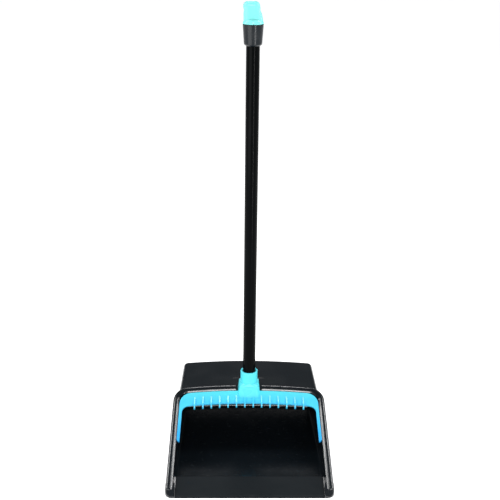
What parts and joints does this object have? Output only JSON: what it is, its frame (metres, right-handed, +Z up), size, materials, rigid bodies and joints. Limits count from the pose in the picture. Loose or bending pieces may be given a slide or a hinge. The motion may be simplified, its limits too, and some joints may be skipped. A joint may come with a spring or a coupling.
{
  "type": "long-handled dust pan",
  "caption": "Upright dust pan with a hooded scoop, soft lip, bristle-combing frame with a handle socket, screw-in tube handle and swivelling hanging cap.",
  "frame": {"origin": "on the floor, under the middle of the bounding box", "axes": "+Z up along the handle, -Y towards the mouth and lip, +X to the right seen from the mouth"},
  "size_m": [0.3092, 0.335, 0.8568],
  "materials": {
    "pan_plastic": "satin moulded black",
    "lip_rubber": "smooth matte black",
    "turquoise_plastic": "moulded turquoise",
    "tube_coating": "glossy black coating on thin steel",
    "collar_plastic": "satin moulded black",
    "screw_steel": "zinc plated"
  },
  "bodies": {
    "pan": {"pan_body": "pan_plastic", "lip_strip": "lip_rubber", "comb_frame": "turquoise_plastic", "frame_screws": "screw_steel"},
    "handle": {"handle_tube": "tube_coating", "threaded_tip": "collar_plastic", "end_collar": "collar_plastic"},
    "hanger": {"hanger_cap": "turquoise_plastic"}
  },
  "joints": [
    {"name": "handle_withdraw", "type": "slide", "parent": "pan", "child": "handle", "axis": [0, 0, 1], "range_m": [0, 0.075]},
    {"name": "hanger_swivel", "type": "hinge", "parent": "handle", "child": "hanger", "pos_m": [0, 0.0325, 0.819], "axis": [0, 0, 1], "continuous": true}
  ]
}
